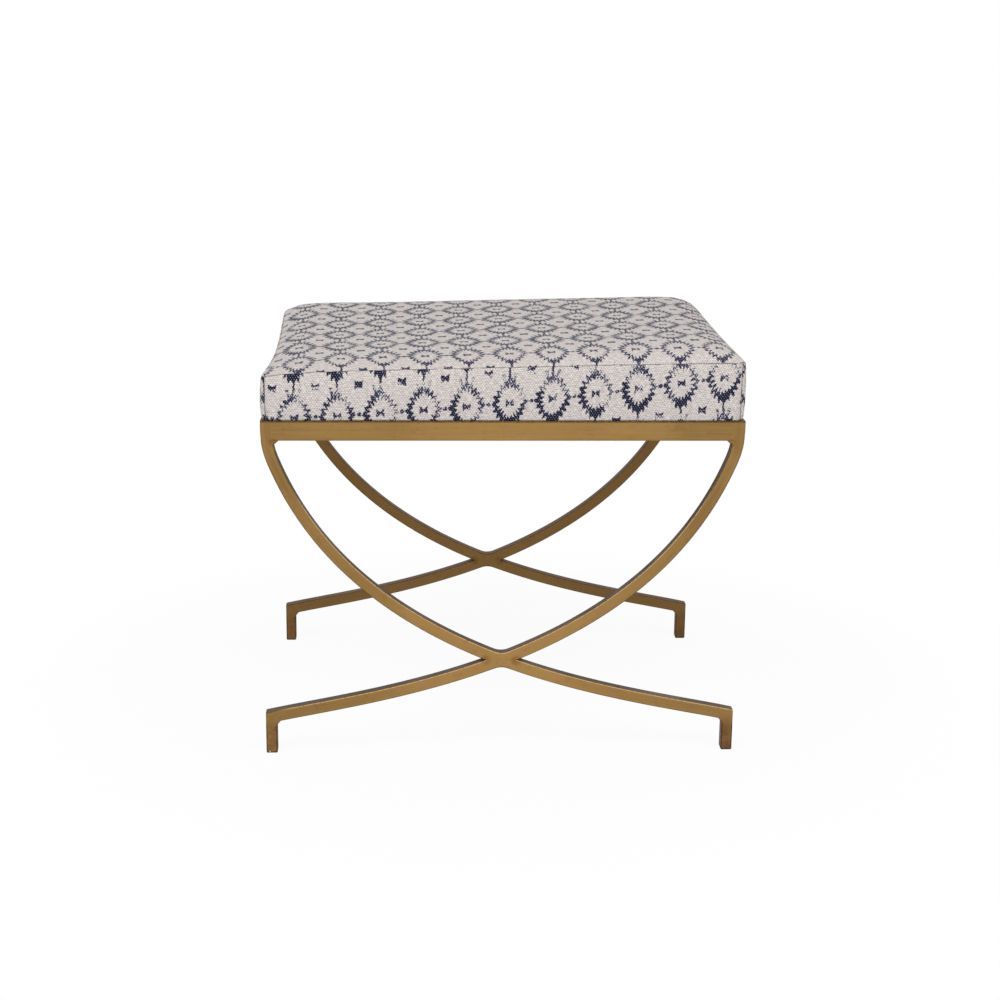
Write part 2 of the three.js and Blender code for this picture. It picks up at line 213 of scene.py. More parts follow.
pitch, yaw, roll = math.radians(14.92), math.radians(2.84), math.radians(-0.66)
ahead = Vector((math.sin(yaw) * math.cos(pitch), math.cos(yaw) * math.cos(pitch), -math.sin(pitch)))
level_right = Vector((math.cos(yaw), -math.sin(yaw), 0))
level_down = ahead.cross(level_right)
right = math.cos(roll) * level_right + math.sin(roll) * level_down
down = -math.sin(roll) * level_right + math.cos(roll) * level_down
lens = bpy.data.cameras.new("camera")
lens.sensor_width, lens.lens = 36, 70.9
camera = bpy.data.objects.new("camera", lens)
stand_at = (-0.108, -2.3075, 0.859)
camera.matrix_world = Matrix([
    *((right[k], -down[k], -ahead[k], stand_at[k]) for k in range(3)), (0, 0, 0, 1),
])
scene.collection.objects.link(camera)
scene.camera = camera


# --- X frames ---------------------------------------------------------------
# At the front and at the back, two curved legs of solid square bar cross in one
# plane, with a rectangular tube rail between their tops and a short foot under
# each end. All are welded flush, then brushed with an antique gold finish.

bar = 0.0127
half_width, half_depth, rail_top = 0.2665, 0.2035, 0.387
rail_height = 0.022
inner_x = half_width - bar
rail_low = rail_top - rail_height
# the legs meet their feet at this height, sloping by run_out; reach is half the bar there, measured upright
foot_height, run_out = 0.048, math.radians(13)
reach = bar / 2 / math.cos(run_out)


def leg_line():
    """Centre line of the leg from the left rail corner to the right foot: x, z and heading from straight down."""
    splay, bend, straight = math.radians(21.4), 0.088, 0.0124
    turn = np.linspace(0, splay, 40)
    line = [(-half_width + bar / 2, rail_top - t, 0.0) for t in np.linspace(0, straight, 12, endpoint=False)]
    line += [
        (-half_width + bar / 2 + bend * (1 - math.cos(a)), rail_top - straight - bend * math.sin(a), a) for a in turn
    ]
    start = np.array(line[-1][:2])
    end = np.array([half_width, foot_height - reach])
    upper_pull, lower_pull = 0.873 * (start[1] - end[1]), 0.2246 * (end[0] - start[0])
    first = start + upper_pull * np.array([math.sin(splay), -math.cos(splay)])
    second = end + lower_pull * np.array([-math.cos(run_out), math.sin(run_out)])
    for t in np.linspace(0, 1, 500)[1:]:
        point = (1 - t) ** 3 * start + 3 * (1 - t) ** 2 * t * first + 3 * (1 - t) * t * t * second + t ** 3 * end
        way = (1 - t) ** 2 * (first - start) + 2 * (1 - t) * t * (second - first) + t * t * (end - second)
        line.append((point[0], point[1], math.atan2(way[0], -way[1])))
    return np.array(line)


leg = leg_line()
leg_run = np.concatenate([[0], np.cumsum(np.hypot(np.diff(leg[:, 0]), np.diff(leg[:, 1])))])
leg_normal = np.stack([np.cos(leg[:, 2]), np.sin(leg[:, 2])], 1)
leg_upper = leg[:, :2] + leg_normal * bar / 2
leg_lower = leg[:, :2] - leg_normal * bar / 2


def edge_at(edge, run):
    return (float(np.interp(run, leg_run, edge[:, 0])), float(np.interp(run, leg_run, edge[:, 1])))


def run_where_x(edge, x):
    return float(np.interp(x, edge[:, 0], leg_run))


def run_where_z(edge, z):
    return float(np.interp(-z, -edge[:, 1], leg_run))


run_rail, run_web = run_where_z(leg_upper, rail_low), run_where_z(leg_upper, rail_low - 0.005)
centre_run = run_where_x(leg, 0.0)
centre_z = float(np.interp(centre_run, leg_run, leg[:, 1]))
slope = math.pi / 2 - float(np.interp(centre_run, leg_run, leg[:, 2]))
# how far the side notches of the crossing are from its middle
low, high = 0.0, 0.05
for _ in range(40):
    notch = (low + high) / 2
    left_z = np.interp(-notch, leg_lower[:, 0], leg_lower[:, 1])
    low, high = (notch, high) if left_z < np.interp(notch, leg_upper[:, 0], leg_upper[:, 1]) else (low, notch)
web_radius = 0.022
top_web = run_where_x(leg_upper, -web_radius * math.sin(slope))
low_web = run_where_x(leg_lower, web_radius * math.sin(slope))

flats = []


def add_flat(*corners):
    """One flat face of an x frame and its mirror image: ((x, z), (run along the bar, place across it))."""
    flats.append(list(corners))
    flats.append([((-x, z), uv) for (x, z), uv in corners])


def add_strip(uppers, lowers):
    for k in range(len(uppers) - 1):
        add_flat(uppers[k], lowers[k], lowers[k + 1], uppers[k + 1])


def on_leg(upper_runs, lower_runs):
    return (
        [(edge_at(leg_upper, r), (r, 0.5)) for r in upper_runs],
        [(edge_at(leg_lower, r), (r, -0.5)) for r in lower_runs],
    )


corner_runs = [0, 0.011, run_rail, run_web]
share = np.linspace(0, 1, 46)
uppers, lowers = on_leg(corner_runs, corner_runs)
# dressed flush with the rail, so no edge is marked there
uppers[:3] = [(p, (r, 0.3)) for p, (r, _) in uppers[:3]]
add_strip(uppers, lowers)
add_strip(*on_leg(
    run_web + share * (top_web - run_web), run_web + share * (run_where_x(leg_lower, -notch) - run_web)
))
fillet, sole_radius = 0.004, 0.0016
run_fillet, run_foot = run_where_x(leg_lower, inner_x - fillet), run_where_x(leg_lower, inner_x)
start_upper = run_where_x(leg_upper, notch)
uppers, lowers = on_leg(
    list(start_upper + share * (run_fillet - start_upper)) + [run_foot],
    list(low_web + share * (run_fillet - low_web)) + [run_foot],
)
lowers[-1] = (lowers[-1][0], (run_foot, -0.3))
add_strip(uppers, lowers)

# the level end of the leg and the foot under it, rounded at the floor
end_upper = ((half_width, foot_height), (leg_run[-1], 0.5))
end_lower = ((half_width, foot_height - 2 * reach), (leg_run[-1], -0.35))
add_flat(uppers[-1], lowers[-1], end_lower, end_upper)
foot_top = lowers[-1][0][1]
foot_rows = [(z, 0) for z in (foot_top, foot_top - fillet, 0.025, 0.017, 0.009, 0.004)]
foot_rows += [
    (sole_radius * (1 - math.sin(a)), sole_radius * (1 - math.cos(a))) for a in np.linspace(0, math.pi / 2, 5)
]
for (high_z, high_in), (low_z, low_in) in zip(foot_rows[:-1], foot_rows[1:]):
    add_flat(
        ((inner_x + high_in, high_z), (high_z, -0.3 if high_z == foot_top else -0.5)),
        ((inner_x + low_in, low_z), (low_z, -0.5)),
        ((half_width - low_in, low_z), (low_z, 0.5)),
        ((half_width - high_in, high_z if high_z != foot_top else end_lower[0][1]), (high_z, 0.5)),
    )
add_flat(
    (edge_at(leg_lower, run_fillet), (run_fillet, -0.5)), ((inner_x, foot_top - fillet), (run_foot, -0.5)), lowers[-1]
)

# the rail, and the weld that fills its lower corners
rail_end = -inner_x + 0.0072


def on_rail(x, z):
    return ((x, z), (x + 0.6, (z - rail_low) / rail_height - 0.5))


columns = np.linspace(rail_end, 0, 24)
for x0, x1 in zip(columns[:-1], columns[1:]):
    add_flat(on_rail(x0, rail_top), on_rail(x0, rail_low), on_rail(x1, rail_low), on_rail(x1, rail_top))
seam_points = [edge_at(leg_upper, r) for r in corner_runs[:3]]
add_flat(*[on_rail(*p) for p in seam_points], on_rail(rail_end, rail_low), on_rail(rail_end, rail_top))
add_flat(
    ((rail_end, rail_low), (0, 0.5)), (seam_points[-1], (0, 0.3)), (edge_at(leg_upper, run_web), (0.01, 0.5))
)

# the crossing, where both legs share one flat of metal with rounded webs above and below
heading = np.array([math.cos(slope), -math.sin(slope)])


def on_crossing(point, across):
    away = np.array(point) - (0, centre_z)
    return (float(point[0]), float(point[1])), (float(centre_run + away @ heading), across)


swing = np.linspace(-slope, slope, 13)


def web(edge, run, side):
    """The rounded web over the crossing, side 1, or under it, side -1."""
    rim = edge_at(edge, run)[1] + side * web_radius * math.cos(slope)
    return [
        on_crossing((web_radius * math.sin(a), rim - side * web_radius * math.cos(a)), side * 0.5) for a in swing
    ]


over, under = web(leg_upper, top_web, 1), web(leg_lower, low_web, -1)
flats.append([on_crossing((-notch, float(left_z)), 0), under[0], over[0]])
flats.append([over[-1], under[-1], on_crossing((notch, float(left_z)), 0)])
flats += [[over[k], under[k], under[k + 1], over[k + 1]] for k in range(len(swing) - 1)]


def from_flats(name, flats, near, far, place):
    """A solid with these flat faces at both depths and walls between; its long edges get a small bevel."""
    shape = bmesh.new()
    grain = shape.loops.layers.uv.new("grain")
    weight = shape.edges.layers.float.new("bevel_weight_edge")
    corners, rims = {}, {}

    def key(point):
        return (round(point[0], 5), round(point[1], 5))

    def corner(point, depth):
        if (key(point), depth) not in corners:
            corners[key(point), depth] = shape.verts.new(place(point[0], point[1], depth))
        return corners[key(point), depth]

    def face(points, uvs):
        made = shape.faces.new([corner(p, d) for p, d in points])
        for loop, uv in zip(made.loops, uvs):
            loop[grain].uv = uv
        made.smooth = True
        return made

    for flat in flats:
        ring = flat[1:] + flat[:1]
        if sum(p[0] * q[1] - q[0] * p[1] for (p, _), (q, _) in zip(flat, ring)) < 0:
            flat = flat[::-1]
            ring = flat[1:] + flat[:1]
        for depth in (near, far):
            face([(p, depth) for p, _ in flat], [uv for _, uv in flat])
        for (p, uv_p), (q, uv_q) in zip(flat, ring):
            if (key(q), key(p)) in rims:
                del rims[key(q), key(p)]
            else:
                rims[key(p), key(q)] = (p, uv_p, q, uv_q)
    for p, uv_p, q, uv_q in rims.values():
        side = 1 if uv_p[1] + uv_q[1] > 0 else -1
        face(
            [(p, near), (q, near), (q, far), (p, far)],
            [(uv_p[0], side / 2), (uv_q[0], side / 2), (uv_q[0], side * 1.5), (uv_p[0], side * 1.5)],
        )
        for depth in (near, far):
            shape.edges.get((corner(p, depth), corner(q, depth)))[weight] = 1
    bmesh.ops.recalc_face_normals(shape, faces=shape.faces)
    shape.normal_update()
    for edge in shape.edges:
        if edge[weight] == 0 and edge.calc_face_angle(0) > math.radians(35):
            edge.smooth = False
    mesh = bpy.data.meshes.new(name)
    shape.to_mesh(mesh)
    shape.free()
    piece = bpy.data.objects.new(name, mesh)
    scene.collection.objects.link(piece)
    edges = piece.modifiers.new("edges", "BEVEL")
    edges.limit_method, edges.width, edges.segments, edges.harden_normals = "WEIGHT", 0.0009, 3, True
    return piece


def noise(vector, scale, detail=2.0, roughness=0.5):
    """Cloudy noise, mostly between 0.3 and 0.7."""
    return Wire.node(
        vector.socket.id_data, "ShaderNodeTexNoise",
        {"Vector": vector, "Scale": scale, "Detail": detail, "Roughness": roughness},
    )


def stretch(vector, x, y, z):
    return Wire.node(
        vector.socket.id_data, "ShaderNodeVectorMath", {0: vector, 1: (x, y, z)}, operation="MULTIPLY"
    )


def shaded(tree, base, roughness, relief, strength, depth, more=()):
    """A surface of this colour and roughness, with its relief as bump, and more sockets by name."""
    bump = Wire.node(tree, "ShaderNodeBump", {"Strength": strength, "Distance": depth, "Height": relief})
    return Wire.node(tree, "ShaderNodeBsdfPrincipled", {
        "Base Color": base, "Roughness": roughness, "Normal": bump, **dict(more),
    })


def gold_surface(tree, grain, wall, light_edge, dark_edge):
    """Antique gold: soft brushing along the bar, upper edges lightened by wear and a painted highlight, painted shade
    on the lower edges and walls, heat stain at the welds.
    """
    place = spot(tree)
    x, y, height = place.axes()
    out_x = abs(x)
    clouds = noise(place, 13.0, 3.0, 0.55)
    mottle = noise(place, 150.0, 3.0, 0.6)
    nicks = noise(place, 380.0, 2.0, 0.6)
    drift = Wire.node(
        tree, "ShaderNodeVectorMath", {0: stretch(grain, 8, 9, 8), 1: clouds * 2.2}, operation="ADD"
    )
    streaks = noise(drift, 1.0, 3.0, 0.62)
    fine = noise(stretch(grain, 70, 90, 70), 1.0, 2.0, 0.5)

    gold = tint((clouds * 0.45 + streaks * 0.55).rise(0.34, 0.66), colour(142, 109, 61), colour(163, 128, 74))
    # lighter towards the middle
    gold = tint((1 - out_x.rise(0.04, 0.22)) * 0.45, gold, colour(186, 146, 84))
    gold = tint(fine.rise(0.4, 0.7) * 0.22, gold, colour(128, 97, 52))
    gold = tint(mottle.rise(0.54, 0.74) * 0.2, gold, colour(118, 86, 44))
    # painted shade: greyer and darker on the faces across the frame's plane, standing for their dark reflection of
    # the seat's underside
    dull_and_shade = tint(clouds.rise(0.42, 0.6), colour(78, 66, 61), colour(108, 95, 90))
    gold = tint(wall * (0.72 + 0.2 * streaks.rise(0.4, 0.62)), gold, dull_and_shade)
    # browner feet with reddish streaks, the right ones most, and grey at the floor
    foot = 1 - height.rise(0.014, 0.05)
    gold = tint(foot * (0.2 + 0.5 * mottle.rise(0.38, 0.62)), gold, colour(120, 80, 44))
    gold = tint(foot * (0.05 + 0.75 * x.rise(0.1, 0.2)) * clouds.rise(0.35, 0.6), gold, colour(100, 66, 36))
    gold = tint((1 - height.rise(0.0015, 0.0065)) * nicks.rise(0.4, 0.6) * 0.7, gold, colour(92, 86, 76))
    # heat stain at the rail corners, the feet and the side notches of the crossing
    corner_stain = 1 - ((out_x - 0.2525) ** 2 + (height - 0.3625) ** 2).rise(0.000002, 0.00004)
    foot_stain = 1 - ((out_x - 0.2555) ** 2 + (height - 0.029) ** 2).rise(0.000001, 0.00002)
    from_notch = (out_x - notch) ** 2 + (height - centre_z) ** 2
    stain = corner_stain.most(foot_stain).most(1 - from_notch.rise(0.000003, 0.00006))
    gold = tint(stain * (0.15 + 0.35 * mottle.rise(0.3, 0.6)), gold, colour(112, 66, 30))
    # painted shadow: black in the side notches of the crossing, where shade falls into the recess
    gold = tint(wall * (1 - from_notch.rise(0.000012, 0.00006)), gold, colour(30, 22, 18))
    # painted shade: the back frame darker and browner, as it lies in the cushion's shade
    gold = tint(y.rise(0.15, 0.19) * 0.55, gold, colour(90, 62, 30))
    # upper edges lightened in broken lines by wear and a painted highlight, painted shade on the others, and one chip
    # in the front left foot
    gold = tint(light_edge * (0.25 + 0.6 * nicks.rise(0.3, 0.52)), gold, colour(228, 190, 132))
    gold = tint(dark_edge * (0.6 + 0.35 * nicks.rise(0.36, 0.56)), gold, colour(54, 37, 22))
    chip = ((x + 0.2625) ** 2 + (height - 0.0014) ** 2 * 0.4).rise(0.0000001, 0.0000007)
    gold = tint((1 - chip.most(y.rise(-0.2028, -0.202))) * 0.85, gold, colour(226, 222, 214))
    roughness = 0.38 + 0.14 * mottle + 0.08 * streaks + 0.12 * wall
    relief = streaks * 0.3 + fine * 0.25 + mottle * 0.3
    return shaded(tree, gold, roughness, relief, 0.3, 0.0003, {"Metallic": 0.8})


def bar_gold(tree):
    grain = Wire.node(tree, "ShaderNodeUVMap", uv_map="grain")
    across = grain.axes()[1]
    x, y, height = spot(tree).axes()
    over = abs(across)
    rim = abs(over.of("FRACT") - 0.5)
    edge = 1 - rim.rise(0.02, 0.075)
    on_foot, at_rail = 1 - height.rise(0.03, 0.037), height.rise(0.361, 0.366)
    # painted highlight, partly wear: light edges are on top and face outwards, from below the legs' steep ends
    # right out to the right feet, and only faint near the left ones
    lit = across.rise(-0.05, 0.05) * abs(y).rise(0.195, 0.199)
    lit_leg = lit * (1 - on_foot) * (1 - height.rise(0.28, 0.33)) * (1 - (x * -1).rise(0.235, 0.26) * 0.8)
    # painted shade: dark edges, broken by nicks, wider round the feet and along the floor, and faint on the rails
    dark_edge = edge * (1 - lit_leg) * (1 - at_rail * 0.65)
    outer_rim = abs(x).rise(half_width - 0.0014, half_width - 0.0003)
    sole = (1 - height.rise(0.0006, 0.0026)).most(outer_rim.least(abs(y).rise(0.2026, 0.2032)))
    dark_edge = dark_edge.most((1 - rim.rise(0.04, 0.15)).most(sole) * on_foot)
    # painted shadow along the top of the rails, cast by the cushion's lower edge that lies on them
    dark_edge = dark_edge.most(height.rise(rail_top - 0.0024, rail_top - 0.0009) * 0.8)
    wall = over.rise(0.5, 0.57) * (1 - height.rise(rail_low + 0.0003, rail_low + 0.009) * 0.85)
    return gold_surface(tree, grain, wall, edge * lit_leg, dark_edge)


bar_finish = finish("antique_gold_bar", bar_gold)
for end, near in (("front", -half_depth), ("back", half_depth - bar)):
    x_frame = from_flats(end + "_x_frame", flats, near, near + bar, lambda a, b, depth: (a, depth, b))
    x_frame.data.materials.append(bar_finish)
    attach(x_frame, "root")
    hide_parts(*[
        end + "_" + part for part in ("leg_through", "leg_upper", "leg_lower", "left_foot", "right_foot", "rail")
    ])


# --- Side rails -------------------------------------------------------------
# The same rectangular tube, cut to fit between the front and the back x frame
# and welded to both, so that the seat rests on a closed frame.

rail_stations = np.linspace(-half_depth + bar, half_depth - bar, 21)
side_flats = [
    [
        ((a, rail_top), (a, 0.5)), ((a, rail_low), (a, -0.5)), ((b, rail_low), (b, -0.5)), ((b, rail_top), (b, 0.5)),
    ]
    for a, b in zip(rail_stations[:-1], rail_stations[1:])
]
for side, near in (("left", -half_width), ("right", half_width - bar)):
    side_rail = from_flats(side + "_side_rail", side_flats, near, near + bar, lambda a, b, depth: (depth, a, b))
    side_rail.data.materials.append(bar_finish)
    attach(side_rail, "root")
    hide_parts(side + "_rail")


# --- Corner tabs ------------------------------------------------------------
# Flat steel triangles inside the rail corners, each drilled for a seat screw and
# finished with the frame.


def tab_gold(tree):
    place = spot(tree)
    patchy = noise(place, 90.0)
    return gold_surface(tree, place, patchy * 0.5, patchy.rise(0.55, 0.7) * 0.3, patchy.rise(0.6, 0.4) * 0.3)


tab_finish = finish("antique_gold_tab", tab_gold)
corners = ("front_left", "front_right", "back_left", "back_right")
for corner_name in corners:
    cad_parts[corner_name + "_tab"].data.materials[0] = tab_finish


# --- Weld beads -------------------------------------------------------------
# Rippled runs of weld up the four inner corners of the rail frame and along both
# edges of each tab, left as welded because the seat hides them.

bead_runs = []
tab_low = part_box("front_left_tab")[0].z
for sx in (-1, 1):
    for sy in (-1, 1):
        x, y = sx * inner_x, sy * (half_depth - bar)
        bead_runs.append([(x, y, rail_low + 0.001), (x, y, tab_low - 0.001)])
        bead_runs.append([(x - sx * 0.003, y, tab_low), (x - sx * 0.04, y, tab_low)])
        bead_runs.append([(x, y - sy * 0.003, tab_low), (x, y - sy * 0.04, tab_low)])
bead_mesh = bpy.data.meshes.new("weld_lines")
bead_mesh.from_pydata(
    [p for run in bead_runs for p in run], [(2 * k, 2 * k + 1) for k in range(len(bead_runs))], []
)


def node_tree(name, sizes):
    """An empty Geometry Nodes tree with named number inputs, and its input node."""
    tree = bpy.data.node_groups.new(name, "GeometryNodeTree")
    tree.interface.new_socket("Geometry", in_out="INPUT", socket_type="NodeSocketGeometry")
    for label in sizes:
        tree.interface.new_socket(label, in_out="INPUT", socket_type="NodeSocketFloat")
    tree.interface.new_socket("Geometry", in_out="OUTPUT", socket_type="NodeSocketGeometry")
    return tree, Wire.node(tree, "NodeGroupInput")


def along_path(tree, given, spacing, item, scale=(1, 1, 1)):
    """The item at even steps along the path and facing along it, as plain mesh."""
    run = Wire.node(tree, "GeometryNodeMeshToCurve", {"Mesh": given})
    run = Wire.node(tree, "GeometryNodeResampleCurve", {"Curve": run, "Length": given.other(spacing)}, mode="LENGTH")
    facing = Wire.node(
        tree, "FunctionNodeAlignRotationToVector", {"Vector": Wire.node(tree, "GeometryNodeInputTangent")}, axis="Z"
    )
    placed = Wire.node(tree, "GeometryNodeInstanceOnPoints", {
        "Points": run, "Instance": item, "Rotation": facing, "Scale": scale,
    })
    return Wire.node(tree, "GeometryNodeRealizeInstances", {"Geometry": placed})


def repeated(name, path_mesh, tree, made_of, sizes, material):
    """Ends the tree, and gives the plain mesh object that it makes from the path."""
    ended = Wire.node(tree, "GeometryNodeSetMaterial", {"Geometry": made_of, "Material": material})
    Wire.node(tree, "NodeGroupOutput", {"Geometry": ended})
    piece = bpy.data.objects.new(name, path_mesh)
    scene.collection.objects.link(piece)
    made = piece.modifiers.new("made", "NODES")
    made.node_group = tree
    for item in tree.interface.items_tree:
        if item.item_type == "SOCKET" and item.in_out == "INPUT" and item.name in sizes:
            made[item.identifier] = float(sizes[item.name])
    bpy.context.view_layer.update()
    mesh = bpy.data.meshes.new_from_object(piece.evaluated_get(bpy.context.evaluated_depsgraph_get()))
    piece.modifiers.remove(made)
    mesh.name = name
    mesh.materials.clear()
    mesh.materials.append(material)
    piece.data = mesh
    return piece


tree, given = node_tree("weld_bead", ("Pitch", "Bead"))
drop = Wire.node(tree, "GeometryNodeMeshUVSphere", {"Segments": 10, "Rings": 6, "Radius": given.other("Bead")})
size = Wire.node(
    tree, "FunctionNodeRandomValue", {"Min": (0.8, 0.8, 0.6), "Max": (1.1, 1.1, 0.8), "Seed": 7},
    data_type="FLOAT_VECTOR",
)
drops = along_path(tree, given, "Pitch", drop, size)
drops = Wire.node(tree, "GeometryNodeSetShadeSmooth", {"Geometry": drops})
beads = repeated("weld_beads", bead_mesh, tree, drops, {"Pitch": 0.0012, "Bead": 0.0019}, tab_finish)
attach(beads, "root")


# --- Seat board -------------------------------------------------------------
# A 12 mm plywood board with a round hole over each tab, where a tee nut is sunk.


def raw_plywood(tree):
    place = spot(tree)
    figure = noise(stretch(place, 3, 42, 3), 1.0, 4.0, 0.6)
    pores = noise(stretch(place, 60, 900, 60), 1.0, 2.0)
    wood = tint(figure.rise(0.36, 0.66), colour(214, 187, 140), colour(186, 150, 101))
    wood = tint(pores.rise(0.56, 0.7) * 0.5, wood, colour(150, 116, 74))
    # the plies show at the sides, 1.6 mm each
    ply = (place.axes()[2] * 625).of("FRACT")
    side = 1 - abs(Wire.node(tree, "ShaderNodeNewGeometry", out="Normal").axes()[2])
    wood = tint(side.rise(0.4, 0.6) * ply.rise(0.45, 0.55) * 0.6, wood, colour(128, 88, 52))
    return shaded(tree, wood, 0.62 + 0.15 * pores, figure + pores, 0.3, 0.0003)


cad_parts["seat_board"].data.materials[0] = finish("raw_plywood", raw_plywood)


# --- Tee nuts ---------------------------------------------------------------
# Zinc plated tee nuts pressed into the board from above, one over each tab.


def bright_zinc(tree):
    place = spot(tree)
    spangle = noise(place, 700.0, 3.0, 0.6)
    dull_and_shade = noise(place, 90.0, 2.0)
    zinc = tint(spangle.rise(0.35, 0.65), colour(176, 180, 182), colour(214, 217, 219))
    zinc = tint(dull_and_shade.rise(0.5, 0.7) * 0.5, zinc, colour(138, 138, 130))
    return shaded(tree, zinc, 0.28 + 0.25 * dull_and_shade, spangle, 0.2, 0.0001, {"Metallic": 0.95})


zinc_finish = finish("bright_zinc", bright_zinc)
for corner_name in corners:
    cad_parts[corner_name + "_tee_nut"].data.materials[0] = zinc_finish


# --- Cushion form -----------------------------------------------------------
# The stuffed shape that foam, wadding and cover share: a boxed cushion whose domed
# top rolls over fast at the seam. Use has settled its left end and its back corners.

half_long, half_short = 0.2655, 0.2025
cloth_low = 0.3871
# how the grid lines are spread over each rounded corner, 1 at its outer edge
corner_steps = np.array([1, .97, .93, .87, .8, .72, .64, .56, .495, .4364, .38, .32, .24, .12, 0])
seam_step = 3
front_corner, back_corner = 0.010, 0.025
low_corner = 0.012


def lines(half, low_radius, high_radius, count):
    """Grid lines across the seat, close together in the corner blocks at both ends."""
    low_block = -half + low_radius * (1 - corner_steps)
    high_block = (half - high_radius * (1 - corner_steps))[::-1]
    middle = np.linspace(low_block[-1], high_block[0], count + 1)[1:-1]
    return np.concatenate([low_block, middle, high_block])


long_count, short_count = 112, 84
lines_y = lines(half_short, front_corner, back_corner, short_count)
back_share = np.clip(
    (lines_y + half_short - front_corner) / (2 * half_short - front_corner - back_corner), 0, 1
)
lines_x = (
    np.outer(1 - back_share, lines(half_long, front_corner, front_corner, long_count))
    + np.outer(back_share, lines(half_long, back_corner, back_corner, long_count))
)
rows_y, rows_x = lines_x.shape
block = len(corner_steps)
square_x, square_y = lines_x, np.repeat(lines_y[:, None], rows_x, 1)


def rounded(front_radius, back_radius):
    """The plan grid with its four corner blocks bent round."""
    round_x, round_y = square_x.copy(), square_y.copy()
    for sx in (-1, 1):
        for sy in (-1, 1):
            radius = back_radius if sy > 0 else front_radius
            for q in range(block):
                for p in range(block):
                    j, i = (rows_y - 1 - q if sy > 0 else q), (rows_x - 1 - p if sx > 0 else p)
                    a, b = corner_steps[p], corner_steps[q]
                    reach_out = radius * max(a, b) / max(math.hypot(a, b), 1e-9)
                    round_x[j, i] = sx * (half_long - radius + reach_out * a)
                    round_y[j, i] = sy * (half_short - radius + reach_out * b)
    return round_x, round_y


plan_x, plan_y = rounded(front_corner, back_corner)


def from_edge(x, y):
    """How far a point of the plan is inside the seat's rounded outline."""
    radius = np.where(y > 0, back_corner, front_corner)
    over_x, over_y = np.abs(x) - (half_long - radius), np.abs(y) - (half_short - radius)
    outside = np.hypot(np.maximum(over_x, 0), np.maximum(over_y, 0))
    return radius - outside - np.minimum(np.maximum(over_x, over_y), 0)


def dome(x, y):
    """How far the stuffed top stands above its seam; the left end is the flatter one."""
    return (0.0102 + 0.0245 * x) * (1 - np.abs(y / half_short) ** 14) * (1 - np.abs(x / half_long) ** 20)


def seam_height(x, y):
    """The knife seam climbs to the right, droops at the corners and sags along the left end."""
    back = (y + half_short) / (2 * half_short)
    level = (1 - back) * (0.4469 + 0.0235 * x) + back * (0.4522 + 0.0045 * x)
    from_left, from_right = np.exp(-(half_long + x) / 0.028), np.exp(-(half_long - x) / 0.028)
    from_front, from_back = np.exp(-(half_short + y) / 0.028), np.exp(-(half_short - y) / 0.028)
    droop = from_left * 0.0052 * from_front + from_left ** 1.5 * 0.0108 * from_back
    droop = droop + from_right * (0.0008 * from_front + 0.0105 * from_back)
    return level - droop - (1 - (y / half_short) ** 2) * (0.0098 * from_left + 0.0007 * from_right)


def drawn_in(x, y):
    """The plan with its sides pulled in between the corners."""
    side = np.where(x < 0, 0.0075, 0.0042) * (1 - (np.abs(y) / half_short) ** 2.4)
    side = side + np.where(x < 0, 0.0030, 0.0012) * np.clip((y / half_short - 0.35) / 0.65, 0, 1) ** 1.5
    ends = 0.0012 * (1 - (np.abs(x) / half_long) ** 4)
    return (
        x - np.sign(x) * side * (np.abs(x) / half_long) ** 6,
        y - np.sign(y) * ends * (np.abs(y) / half_short) ** 6,
    )


edge_gap = from_edge(plan_x, plan_y)
top_z = seam_height(square_x, square_y) + dome(square_x, square_y)
top_form = np.stack([*drawn_in(plan_x, plan_y), top_z], 2)

ring = [(0, i) for i in range(rows_x)] + [(j, rows_x - 1) for j in range(1, rows_y)]
ring += [(rows_y - 1, i) for i in range(rows_x - 2, -1, -1)] + [(j, 0) for j in range(rows_y - 2, 0, -1)]
ring_j, ring_i = np.array(ring).T
low_x, low_y = rounded(low_corner, low_corner)
rim_plan = np.stack([low_x[ring_j, ring_i], low_y[ring_j, ring_i]], 1)
inner_half = np.array([half_long, half_short]) - low_corner
rim_out = rim_plan - np.clip(rim_plan, -inner_half, inner_half)
rim_out /= np.linalg.norm(rim_out, axis=1)[:, None]
rim_top = top_form[ring_j, ring_i]
rim_run = np.concatenate([[0], np.cumsum(np.linalg.norm(np.diff(rim_plan, axis=0), axis=1))])

# the walls, from the rail up to the seam: bellied between the corners, turned in at the rail
down_rows = [0, .0004, .0009, .0016, .0026, .004, .006, .009, .013, .018, .024]
up_rows = [0, .0005, .0012, .0022, .0035, .0055, .0085, .0125, .0175, .0235]
wall_height = rim_top[:, 2] - cloth_low
wall_rise = [np.full(len(ring), up) for up in up_rows] + [wall_height - down for down in down_rows[::-1]]
wall_form = []
straightness = np.abs(rim_out).max(1) ** 12
for rise in wall_rise:
    part = rise / wall_height
    base = rim_plan + (rim_top[:, :2] - rim_plan) * part[:, None]
    belly = 0.0018 * straightness * (4 * part * (1 - part)) ** 0.8
    turned_in = 0.0009 * np.clip(1 - rise / 0.0022, 0, 1) ** 2
    wall_form.append(np.column_stack([base + rim_out * (belly - turned_in)[:, None], cloth_low + rise]))
wall_form = np.array(wall_form)
wall_levels = len(wall_form)


def coarse_faces(at, keep_j, keep_i):
    """Faces between the kept lines of the top."""
    return [
        (at[j0, i0], at[j0, i1], at[j1, i1], at[j1, i0])
        for j0, j1 in zip(keep_j, keep_j[1:]) for i0, i1 in zip(keep_i, keep_i[1:])
    ]


def on_seam(keep_j, keep_i):
    """The stations round the seam that are on kept lines."""
    return [k for k, (j, i) in enumerate(ring) if j in keep_j and i in keep_i]


